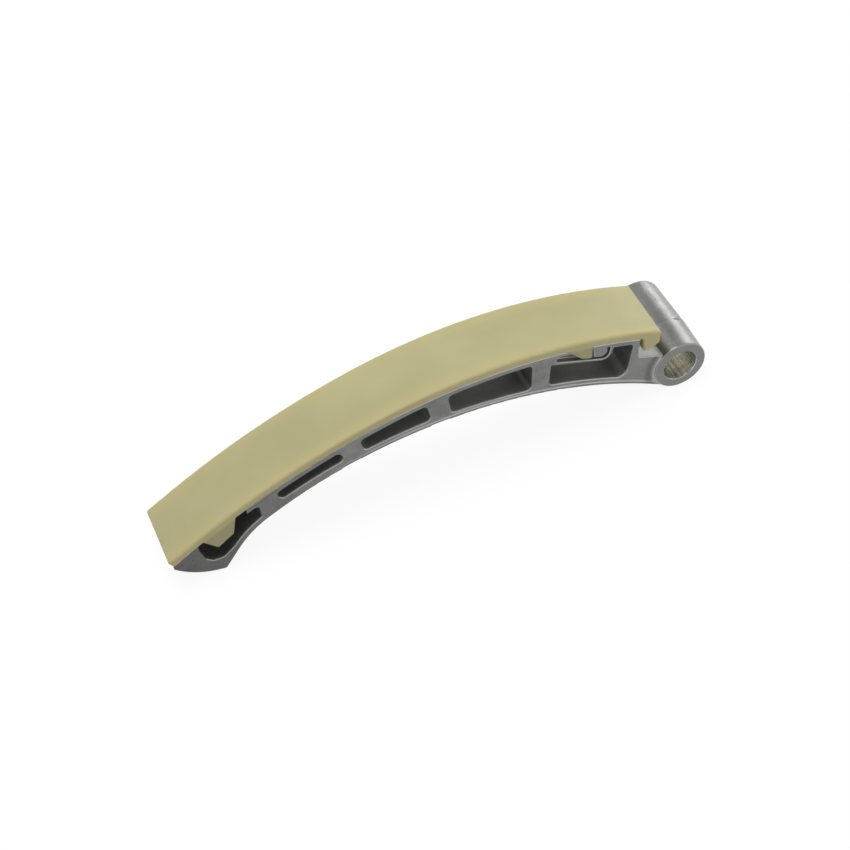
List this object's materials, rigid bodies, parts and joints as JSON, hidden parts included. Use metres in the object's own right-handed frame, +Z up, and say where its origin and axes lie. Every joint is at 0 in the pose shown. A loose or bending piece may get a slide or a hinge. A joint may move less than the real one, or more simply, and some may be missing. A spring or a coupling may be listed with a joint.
{
  "type": "timing chain guide",
  "caption": "Curved timing chain guide: a die-cast pivoting arm with a bored boss, and a clip-on moulded slide lining over its arched top.",
  "frame": {"origin": "centre of the pivot bore, in the middle plane of the chain track", "axes": "+Y along the pivot bore towards the longer end of the boss, +X from the tail to the pivot, +Z up, with the arm bridging level on its foot and its boss"},
  "size_m": [0.2065, 0.0376, 0.0464],
  "materials": {
    "cast_alloy": "as cast, satin",
    "moulded_lining": "moulded, satin"
  },
  "bodies": {
    "root": {"carrier_arm": "cast_alloy", "slide_lining": "moulded_lining"}
  },
  "joints": []
}
